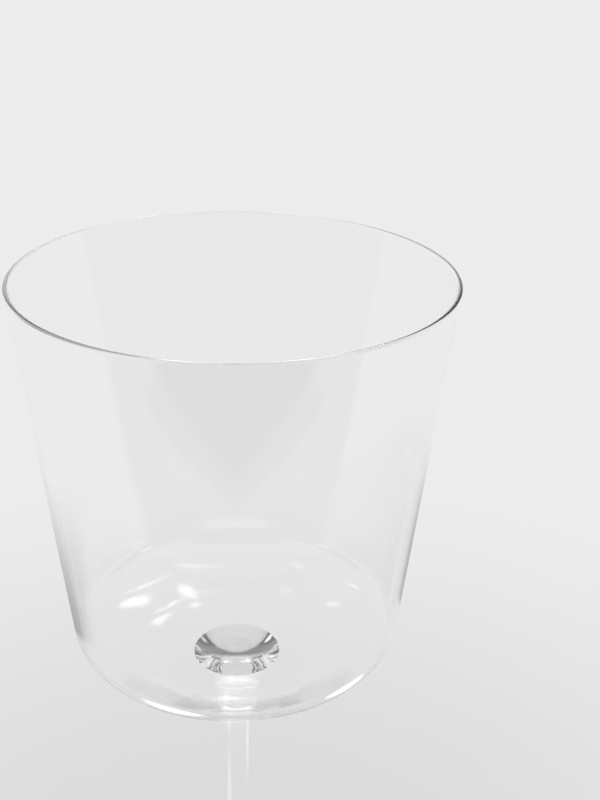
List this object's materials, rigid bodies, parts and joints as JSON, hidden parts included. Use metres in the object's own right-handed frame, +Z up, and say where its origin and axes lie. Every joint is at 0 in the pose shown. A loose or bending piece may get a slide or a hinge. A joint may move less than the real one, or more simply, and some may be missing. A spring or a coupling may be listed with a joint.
{
  "type": "water goblet",
  "caption": "Stemmed water goblet of thin clear glass: tapered bowl with a tight heel and domed floor, slim stem with a flared head, round foot.",
  "frame": {"origin": "centre of the foot's resting face, on the axis of the goblet", "axes": "+Z up along the axis of the goblet, from the foot to the rim; X and Y are alike, because the goblet is turned about Z"},
  "size_m": [0.086, 0.086, 0.18],
  "materials": {
    "clear_glass": "polished"
  },
  "bodies": {
    "root": {"bowl": "clear_glass", "stem": "clear_glass", "foot": "clear_glass"}
  },
  "joints": []
}
